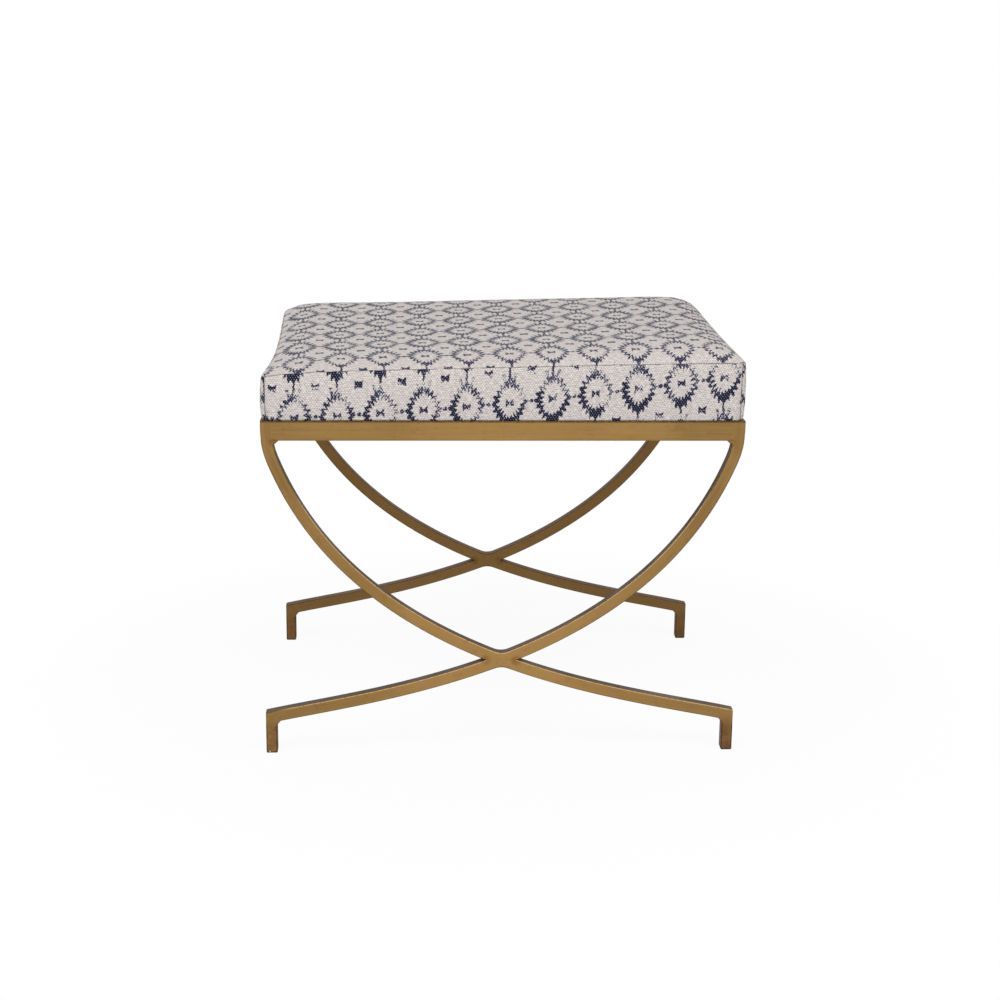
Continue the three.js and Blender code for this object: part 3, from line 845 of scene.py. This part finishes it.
def stuffed(top, wall):
    """Blows the form up like a filled cushion and gives how far each grid point moves, under 1.2 mm."""
    picked_i, picked_j = [
        sorted({*range(0, block, 3), *range(block, rows - block, 2), *range(rows - block, rows, 3), rows - 1})
        for rows in (rows_x, rows_y)
    ]
    levels = [0, 4, 6, 8, 10, 12, 14, 16, wall_levels - 1]
    points, held, at = [], [], {}

    def point(place, fixed):
        points.append(tuple(place))
        held.append(fixed)
        return len(points) - 1

    for j in picked_j:
        for i in picked_i:
            at[j, i] = point(top[j, i], i in (0, rows_x - 1) or j in (0, rows_y - 1))
    faces = coarse_faces(at, picked_j, picked_i)
    stations = on_seam(picked_j, picked_i)
    wall_at = {(levels[-1], k): at[ring[k]] for k in stations}
    for level in levels[:-1]:
        for k in stations:
            wall_at[level, k] = point(wall[level, k], level == 0)
    for k0, k1 in zip(stations, stations[1:] + stations[:1]):
        for l0, l1 in zip(levels[:-1], levels[1:]):
            faces.append((wall_at[l0, k0], wall_at[l0, k1], wall_at[l1, k1], wall_at[l1, k0]))
    faces.append(tuple(wall_at[0, k] for k in stations[::-1]))
    mesh = bpy.data.meshes.new("stuffing")
    mesh.from_pydata(points, [], faces)
    body = bpy.data.objects.new("stuffing", mesh)
    scene.collection.objects.link(body)
    group = body.vertex_groups.new(name="held")
    group.add([k for k, fixed in enumerate(held) if fixed], 1.0, "REPLACE")
    cloth = body.modifiers.new("cloth", "CLOTH").settings
    cloth.quality, cloth.mass = 5, 0.3
    cloth.tension_stiffness = cloth.compression_stiffness = 15
    cloth.shear_stiffness, cloth.bending_stiffness = 5, 0.5
    cloth.vertex_group_mass = "held"
    cloth.use_pressure, cloth.uniform_pressure_force = True, 4
    cloth.effector_weights.gravity = 0
    start = np.array(points)
    for step in range(1, 21):
        scene.frame_set(step)
    shown = body.evaluated_get(bpy.context.evaluated_depsgraph_get()).data
    moved = np.array([v.co for v in shown.vertices]) - start
    scene.frame_set(1)
    bpy.data.objects.remove(body)
    most = 0.0012
    moved *= most / (most + np.linalg.norm(moved, axis=1)[:, None])

    def filled(coarse, at, count, period=None):
        """Moves for all lines from those of the picked ones, in one direction, which is then the first."""
        return np.array([
            [np.interp(np.arange(count), at, row[:, axis], period=period) for axis in range(3)] for row in coarse
        ]).transpose(2, 0, 1)

    coarse_top = np.array([[moved[at[j, i]] for i in picked_i] for j in picked_j])
    coarse_wall = np.array([[moved[wall_at[level, k]] for k in stations] for level in levels])
    return (
        filled(filled(coarse_top, picked_i, rows_x), picked_j, rows_y),
        filled(filled(coarse_wall, stations, len(ring), len(ring)), levels, wall_levels),
    )


top_move, wall_move = stuffed(top_form, wall_form)
top_form, wall_form = top_form + top_move, wall_form + wall_move


def solid(name, points, faces, uvs=None, seam_gaps=None):
    """A smooth mesh object from plain lists. Cloth has a UV and a distance to its nearest seam for each point."""
    mesh = bpy.data.meshes.new(name)
    mesh.from_pydata([tuple(p) for p in points], [], faces)
    if uvs is not None:
        mesh.attributes.new("seam_gap", "FLOAT", "POINT").data.foreach_set("value", np.array(seam_gaps, np.float32))
        layer = mesh.uv_layers.new(name="cloth")
        index = np.zeros(len(mesh.loops), np.int32)
        mesh.loops.foreach_get("vertex_index", index)
        layer.data.foreach_set("uv", np.array(uvs, np.float32)[index].ravel())
    mesh.polygons.foreach_set("use_smooth", np.ones(len(mesh.polygons), bool))
    piece = bpy.data.objects.new(name, mesh)
    scene.collection.objects.link(piece)
    return piece


def shell_form(inset, low_z):
    """Points and faces of the form drawn in all round by inset, open below at low_z, and its lowest ring."""
    keep_i, keep_j = [sorted({*range(0, rows, 3), rows - 1}) for rows in (rows_x, rows_y)]
    squeeze = np.array([(half_long - inset) / half_long, (half_short - inset) / half_short, 1])
    points, at = [], {}
    for j in keep_j:
        for i in keep_i:
            at[j, i] = len(points)
            points.append(top_form[j, i] * squeeze - (0, 0, inset))
    faces, stations = coarse_faces(at, keep_j, keep_i), on_seam(keep_j, keep_i)
    rings = [[at[ring[k]] for k in stations]]
    top_of = np.array([points[at[ring[k]]][2] for k in stations])
    for part in (0.85, 0.65, 0.45, 0.25, 0.1, 0.0):
        now = []
        for k, top in zip(stations, top_of):
            z = low_z + (top - low_z) * part
            x, y = [np.interp(z, wall_form[:, k, 2], wall_form[:, k, axis]) * squeeze[axis] for axis in (0, 1)]
            now.append(len(points))
            points.append(np.array([x, y, z]))
        rings.append(now)
    for upper, lower in zip(rings[:-1], rings[1:]):
        for k in range(len(stations)):
            n = (k + 1) % len(stations)
            faces.append((lower[k], lower[n], upper[n], upper[k]))
    return points, faces, rings[-1]


# --- Foam pad ---------------------------------------------------------------
# One block of open cell foam, cut to the board and glued on it.


def open_foam(tree):
    place = spot(tree)
    cells = Wire.node(tree, "ShaderNodeTexVoronoi", {"Vector": place, "Scale": 900.0})
    yellowed = noise(place, 9.0, 2.0)
    foam = tint(yellowed.rise(0.35, 0.65), colour(240, 232, 206), colour(228, 214, 174))
    foam = tint(cells.rise(0.0, 0.4) * 0.35, colour(196, 182, 146), foam)
    return shaded(tree, foam, 0.92, cells, 0.5, 0.0004)


points, faces, lowest = shell_form(0.0064, 0.4006)
faces.append(tuple(lowest[::-1]))
foam = solid("foam_block", points, faces)
foam.data.materials.append(finish("open_cell_foam", open_foam))
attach(foam, "root")
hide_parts("foam_pad")


# --- Fibre wadding ----------------------------------------------------------
# A sheet of lofted polyester wrapped over the foam and down round the board, which
# rounds the edges and holds the cover out.


def lofted_fibre(tree):
    place = spot(tree)
    strands = noise(place, 260.0, 5.0, 0.7)
    tufts = noise(place, 30.0, 3.0)
    fibre = tint((strands * 0.6 + tufts * 0.4).rise(0.38, 0.62), colour(226, 223, 218), colour(247, 245, 242))
    return shaded(tree, fibre, 0.95, strands + tufts, 0.7, 0.001)


points, faces, lowest = shell_form(0.0013, 0.3889)
wadding = solid("wadding_wrap", points, faces)
wadding.data.materials.append(finish("lofted_fibre", lofted_fibre))
loft = wadding.modifiers.new("loft", "SOLIDIFY")
loft.thickness, loft.offset = 0.0044, -1
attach(wadding, "root")
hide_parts("fibre_wadding")


# --- Seat cover -------------------------------------------------------------
# Coarse cotton block printed in indigo with a lattice of toothed medallions, cut
# as a top and four boxing strips. The side strips wrap round the corners. Knife
# seams join them, and the lower edges are pulled under the board and stapled.


def printed_cotton(tree, top_panel=False):
    """Coarse plain weave with its block print. The top panel's print is paler away from its seams: a painted sheen.
    """
    flat = Wire.node(tree, "ShaderNodeUVMap", uv_map="cloth")
    millimetres = stretch(flat, 1000, 1000, 0)
    # the hand cut block and the loose weave let every outline wander a little
    wander = Wire.node(
        tree, "ShaderNodeTexNoise", {"Vector": millimetres, "Scale": 0.28, "Detail": 2.0}, out="Color"
    )
    wander = Wire.node(tree, "ShaderNodeVectorMath", {0: wander, 1: (0.5, 0.5, 0.5)}, operation="SUBTRACT")
    printed = Wire.node(
        tree, "ShaderNodeVectorMath", {0: stretch(wander, 4.4, 4.4, 0), 1: millimetres}, operation="ADD"
    )
    u, v, _ = printed.axes()
    specks, grains = noise(millimetres, 0.62, 2.0, 0.7), noise(millimetres, 0.5, 1.0, 0.6)
    mid_top = 0.0
    # the middle of the top panel, away from its front and back seams
    if top_panel:
        mid_top = 1 - abs(spot(tree).axes()[1]).rise(0.156, 0.18)

    # the medallions repeat in columns and rows, these many millimetres apart
    column, row = 46.1, 67.0
    side = (((u - 3) / column + 0.5).of("FRACT") - 0.5) * column
    rise = ((v / row + 0.5).of("FRACT") - 0.5) * row
    ax, ay = abs(side), abs(rise)

    # how well the block inked: patchy, heavier low on the left of each medallion
    patches = noise(stretch(flat, 44, 44, 0), 1.0, 1.5, 0.5)
    inked = (patches - 0.5) * 2.8 + 0.62 - side * 0.009 - rise * 0.012
    if top_panel:
        inked = inked + (0.48 + 0.2 * mid_top - inked) * 0.75
    heavy = inked.rise(0.5, 0.95)

    # medallion: a rounded lozenge whose broken line zigzags, thicker at its tips
    ex, ey = ax / (15.8 + 0.9 * mid_top), ay / (23.2 + 1.0 * mid_top)
    round_way = (ex ** 1.5 + ey ** 1.5) ** (1 / 1.5)
    away = (round_way - 1) * 16.5
    turn = ey.maths("ARCTAN2", ey, ex)
    zigzag = (turn * 20).of("COSINE")
    tip = ey.rise(0.6, 0.95) * (0.0 if top_panel else 1.0)
    line = 2.05 + heavy * 1.5 + tip * 1.3 + mid_top * 0.9 + (specks - 0.5) * 4 + (grains - 0.5) * 4
    outline = (line - abs(away - zigzag * (2.1 + mid_top * 0.5) + heavy * 0.8 + tip * 1.0)).rise(-0.4, 0.4)
    # loose specks at its sides, a stem that flares into its tips, and a broken spray of teeth on top
    fleck = (1.7 - mid_top * 1.6 - abs(ax - 16.4)).least(3.6 - ay).least((grains - 0.42) * 9)
    stem = 1.2 + (28.5 - ay).most(0.0) * (0.6 - 0.3 * mid_top) + (specks - 0.5) * 3
    neck = (stem - ax).least(ay - 20.5)
    spray = (zigzag - 0.1).least(32 - rise).least(rise - 23).least(10 - ax).least((grains - 0.45) * 9)
    motif = outline.most(fleck.most(neck).most(spray).rise(-0.35, 0.35))
    # bow ties in the middle of each medallion and between the medallions
    tie = (4.3 - ax).least(1.3 + 0.8 * ax - ay + (specks - 0.5) * 2.2).rise(-0.35, 0.35)
    qx, qy = column / 2 - ax, row / 2 - ay
    knot = (4.4 - qx).least(2.5 + 0.5 * qx - qy + (specks - 0.5) * 2.2).rise(-0.35, 0.35)
    # a dot between neighbours
    dot = (2.35 - (qx ** 2 + ay ** 2) ** 0.5 + (specks - 0.5) * 1.6).rise(-0.4, 0.4)
    motif = motif.most(tie).most(knot).most(dot)

    # ink sits on the raised threads first, so thin ink breaks into specks and full ink keeps light pinholes
    threads = stretch(flat, 2 * math.pi / 0.0028, 2 * math.pi / 0.0043, 0)
    wave_u, wave_v, _ = threads.axes()
    checks = wave_u.of("COSINE") * wave_v.of("COSINE")
    hold = (specks - 0.5) * 2.0 + (grains - 0.5) * 3.2 + 0.45 + checks * 0.25
    ink = motif * (inked * 1.2 + 0.3 - hold).rise(-0.08, 0.1) * (1 - checks.rise(0.6, 0.95) * 0.4)

    # plain weave of uneven yarn: little squares, with faint ribs along the rows
    ribs = (wave_v * 2.0).of("COSINE") * 0.5 + 0.5
    cross = (wave_u * 2.0).of("COSINE") * 0.5 + 0.5
    slubs = noise(stretch(flat, 210, 560, 0), 1.0, 2.0, 0.6)
    warp_slubs = noise(stretch(flat, 620, 180, 0), 1.0, 2.0, 0.6)
    weave = ribs * 0.28 + cross * 0.12 + (checks * 0.5 + 0.5) * 0.6 + (slubs - 0.5) * 0.5
    cloth = tint(slubs.rise(0.34, 0.66), colour(217, 209, 205), colour(238, 231, 227))
    cloth = tint(warp_slubs.rise(0.48, 0.66) * 0.3, cloth, colour(190, 180, 175))
    cloth = tint((1 - weave.rise(0.1, 0.7)) * 0.66, cloth, colour(126, 115, 112))
    blue = tint(inked.rise(0.2, 0.9), colour(54, 60, 92), colour(12, 18, 52))
    blue = tint(weave.rise(0.45, 0.9) * 0.14, blue, colour(84, 90, 122))
    # painted sheen: the ink greyer and paler over the middle of the top panel
    if top_panel:
        blue = tint(mid_top * 0.5, blue, colour(84, 92, 106))
    # painted shade in the crease of each knife seam, with its thread and lint
    seam_gap = Wire.node(tree, "ShaderNodeAttribute", out="Fac", attribute_name="seam_gap")
    seam_shade_and_thread = (1 - seam_gap.rise(0.0004, 0.0013)) * (0.42 + 0.34 * grains.rise(0.4, 0.6))
    cotton = tint(seam_shade_and_thread, tint(ink, cloth, blue), colour(84, 70, 64))
    relief = weave * 0.7 + slubs * 0.3
    return shaded(tree, cotton, 0.88, relief, 0.5, 0.0004, {"Specular IOR Level": 0.2, "Sheen Weight": 0.05})


cotton = finish("printed_cotton", printed_cotton)
top_cotton = finish("printed_cotton_top", lambda tree: printed_cotton(tree, top_panel=True))


def groove(gap):
    """How deep a knife seam pulls the cloth in at this distance from it."""
    return 0.0015 * np.exp(-np.asarray(gap) / 0.0012)


def quads(rows, columns, turned=False):
    """The faces of a grid of points, which turned face the other way."""
    steps = ((0, 0), (0, 1), (1, 1), (1, 0)) if turned else ((0, 0), (1, 0), (1, 1), (0, 1))
    return [
        tuple((j + a) * columns + i + b for a, b in steps) for j in range(rows - 1) for i in range(columns - 1)
    ]


def sewn(name, node, points, faces, uvs, seam_gaps):
    piece = solid(name, points, faces, uvs, seam_gaps)
    piece.data.materials.append(top_cotton if name == "seat_top" else cotton)
    cloth = piece.modifiers.new("cloth", "SOLIDIFY")
    cloth.thickness, cloth.offset = 0.0009, -1
    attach(piece, "root")
    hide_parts(node)
    return piece


# the top, with its seam allowance turned down inside; all edges are pulled a little into the seam
tuck, pulled = 0.004, 0.0013
seam_in = np.column_stack([-rim_out * 0.75, np.full(len(ring), -0.66)])
top = top_form.copy()
gap = np.maximum(edge_gap, 0)
top[ring_j, ring_i] += seam_in * pulled
creased = (gap > 0) & (gap < 0.006)
creased[ring_j, ring_i] = False
top[creased, 2] -= groove(gap[creased]) * 0.8
ripple = 0.00022 * np.sin(plan_x * 410 + 2 * np.sin(plan_y * 37)) * np.sin(plan_y * 380 + 1.3) * np.exp(-gap / 0.02)
top[:, :, 2] += ripple + 0.0004 * np.sin(plan_x * 21 + 1) * np.sin(plan_y * 26 + 2)
points = list(top.reshape(-1, 3))
faces = quads(rows_y, rows_x, turned=True)
# the print lies flat on the cloth, so it is laid out by length over the dome
run_y = np.vstack([np.zeros(rows_x), np.cumsum(np.linalg.norm(np.diff(top_form[:, :, 1:], axis=0), axis=2), axis=0)])
run_y += top_form[0, :, 1] + half_short
run_x = np.cumsum(np.linalg.norm(np.diff(top_form[:, :, ::2], axis=1), axis=2), axis=1)
run_x = np.column_stack([np.zeros(rows_y), run_x])
middle = slice(rows_x // 2, rows_x // 2 + 1)
run_x -= run_x[:, middle] - top_form[:, middle, 0]
fanned = -0.0049 + run_x * (0.9965 - 0.0966 * run_y) + 0.0425 * run_y - 0.1033 * run_y ** 2
# use has shifted it: forward in the middle, and at the left end forward near the front and back behind that
shift = np.clip((run_y - 0.035) / 0.06, 0, 1) * (0.0055 + 0.22 * plan_x * (0.2 - run_y))
shift += 0.010 * np.exp(-(half_long + plan_x) / 0.03 - (half_short + plan_y) / 0.06)
shift += np.clip((-0.19 - plan_x) / 0.045, 0, 1) * (
    0.010 * np.exp(-(run_y / 0.05) ** 2) - 0.024 * np.clip((run_y - 0.07) / 0.07, 0, 1)
)
top_uv = np.stack([fanned, run_y - 0.0336 + 0.017 * plan_x + shift], 2).reshape(-1, 2)
uvs = list(top_uv)
gaps = list(gap.reshape(-1))
first = len(points)
for k, (j, i) in enumerate(ring):
    points.append(top[j, i] + seam_in[k] * tuck)
    uvs.append(top_uv[j * rows_x + i] + rim_out[k] * tuck)
    gaps.append(0)
for k, (j, i) in enumerate(ring):
    n = (k + 1) % len(ring)
    faces.append((first + k, first + n, ring[n][0] * rows_x + ring[n][1], j * rows_x + i))
sewn("seat_top", "cover_top", points, faces, uvs, gaps)

# the boxing, one strip a side, each with its allowances turned in at the seams
# between the corner seams; each has its print's height, slope and bow
seam_k = [
    seam_step, rows_x - 1 - seam_step, rows_x + rows_y - 2 + seam_step, 2 * rows_x + rows_y - 3 - seam_step,
]
seam_k.append(seam_k[0] + len(ring))
strips = {
    "front_boxing": (0.407, 0.0975, 0.102), "right_boxing": (0.4195, -0.045, 0),
    "back_boxing": (0.4110, -0.045, 0), "left_boxing": (0.3990, -0.045, 0),
}
turned_under = [0.020, 0.014, 0.008, 0.004, 0.0018]
for (name, (print_low, print_slope, print_bow)), first_k, last_k in zip(strips.items(), seam_k, seam_k[1:]):
    stations = list(range(first_k, last_k + 1))
    run_at = [rim_run[k % len(ring)] + (rim_run[-1] + 0.0003 if k >= len(ring) else 0) for k in stations]
    run_at = np.array(run_at)
    columns_of, columns_up, columns_gap = [], [], []
    for k, here in zip(stations, run_at):
        k = k % len(ring)
        near_seam = min(here - run_at[0], run_at[-1] - here)
        inward = np.array([*-rim_out[k], 0])
        low_edge = wall_form[0, k]
        column = [low_edge + inward * tucked for tucked in turned_under]
        flat_up = [low_edge[2] - tucked for tucked in turned_under]
        from_seam = [near_seam] * len(turned_under)
        for level in range(wall_levels):
            height = cloth_low + wall_rise[level][k]
            below = max(rim_top[k, 2] - height, 0)
            pull = groove(near_seam) * min(1, (wall_levels - level) / 2) + groove(below)
            wave = 0.00025 * math.sin(here * 330 + 0.7) * math.exp(-below / 0.012)
            column.append(wall_form[level, k] + inward * (min(float(pull), 0.0014) - wave))
            flat_up.append(height)
            from_seam.append(min(near_seam, below))
        column[-1] = rim_top[k] + seam_in[k] * pulled + (0, 0, -0.0001)
        column.append(column[-1] + seam_in[k] * tuck)
        flat_up.append(flat_up[-1] + tuck)
        from_seam.append(0)
        columns_gap.append(from_seam)
        columns_of.append(column)
        columns_up.append(flat_up)
    grid, up, gaps = np.array(columns_of), np.array(columns_up), np.array(columns_gap)
    ends = [grid[edge] + np.array([*-rim_out[stations[edge] % len(ring)], 0]) * tuck for edge in (0, -1)]
    grid = np.concatenate([ends[:1], grid, ends[1:]])
    up, gaps = [np.vstack([rows[:1], rows, rows[-1:]]) for rows in (up, gaps)]
    run_at = np.concatenate([[run_at[0] - tuck], run_at, [run_at[-1] + tuck]])
    centred = run_at - (run_at[0] + run_at[-1]) / 2
    print_z = print_low + print_slope * centred + print_bow * centred ** 2
    # here too the print is laid out by length, from the middle of the strip
    along = np.cumsum(np.linalg.norm(np.diff(grid, axis=0, prepend=grid[:1]), axis=2), axis=0)
    along = 0.98 * (along - along[len(grid) // 2]) - 0.0027
    uv = np.stack([along, up - print_z[:, None]], 2)
    faces = quads(*grid.shape[:2])
    sewn(
        name, "cover_" + name, grid.reshape(-1, 3), faces, uv.reshape(-1, 2), gaps.ravel(),
    )


# --- Dust cover -------------------------------------------------------------
# Thin black non-woven cloth pulled flat under the board, over the turned edges of
# the cover.


def black_cambric(tree):
    place = spot(tree)
    fibres = noise(place, 1500.0, 3.0, 0.7)
    lint = noise(place, 60.0, 3.0)
    cambric = tint(fibres.rise(0.35, 0.65), colour(20, 20, 22), colour(44, 44, 47))
    cambric = tint(lint.rise(0.58, 0.75) * 0.3, cambric, colour(84, 82, 80))
    return shaded(tree, cambric, 0.85, fibres, 0.5, 0.0002)


cover_x, cover_y, board_low = 0.2508, 0.1878, 0.38695
grid_x, grid_y = np.linspace(-cover_x, cover_x, 61), np.linspace(-cover_y, cover_y, 47)
points = []
for y in grid_y:
    for x in grid_x:
        bay = (1 - (x / cover_x) ** 2) * (1 - (y / cover_y) ** 2)
        drape = 0.0012 * bay ** 0.6 + 0.00012 * math.sin(x * 140) * math.sin(y * 160) * bay
        points.append((x, y, board_low - drape))
faces = quads(len(grid_y), len(grid_x))
dust_cover = solid("dust_cloth", points, faces)
dust_cover.data.materials.append(finish("black_cambric", black_cambric))
thin = dust_cover.modifiers.new("thin", "SOLIDIFY")
thin.thickness, thin.offset = 0.0004, 1
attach(dust_cover, "root")
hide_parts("dust_cover")


# --- Staples ----------------------------------------------------------------
# Wire staples driven through the dust cover into the board, a hand's breadth
# apart, with none over the corner tabs.

staple_x, staple_y = cover_x - 0.008, cover_y - 0.008
staple_mesh = bpy.data.meshes.new("staple_lines")
staple_mesh.from_pydata(
    [
        (-0.2, -staple_y, 0), (0.2, -staple_y, 0), (-0.2, staple_y, 0), (0.2, staple_y, 0),
        (-staple_x, -0.137, 0), (-staple_x, 0.137, 0), (staple_x, -0.137, 0), (staple_x, 0.137, 0),
    ],
    [(0, 1), (2, 3), (4, 5), (6, 7)], [],
)
tree, given = node_tree("staple_row", ("Spacing", "Crown", "Wire", "Height"))
half_crown = given.other("Crown") * 0.5
crown_line = Wire.node(tree, "GeometryNodeCurvePrimitiveLine", {
    "Start": Wire.node(tree, "ShaderNodeCombineXYZ", {"Z": half_crown * -1.0}),
    "End": Wire.node(tree, "ShaderNodeCombineXYZ", {"Z": half_crown}),
})
wire_round = Wire.node(
    tree, "GeometryNodeCurvePrimitiveCircle", {"Resolution": 8, "Radius": given.other("Wire") * 0.5}
)
staple = Wire.node(
    tree, "GeometryNodeCurveToMesh", {"Curve": crown_line, "Profile Curve": wire_round, "Fill Caps": True}
)
staples = along_path(tree, given, "Spacing", staple)
staples = Wire.node(tree, "GeometryNodeTransform", {
    "Geometry": staples,
    "Translation": Wire.node(tree, "ShaderNodeCombineXYZ", {"Z": given.other("Height")}),
})
staple_sizes = {"Spacing": 0.045, "Crown": 0.010, "Wire": 0.0009, "Height": 0.3862}
staple_rows = repeated("staples", staple_mesh, tree, staples, staple_sizes, zinc_finish)
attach(staple_rows, "root")


# --- Seat screws ------------------------------------------------------------
# Zinc plated hexagon screws, up through the tabs into the tee nuts.

for corner_name in corners:
    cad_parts[corner_name + "_screw"].data.materials[0] = zinc_finish
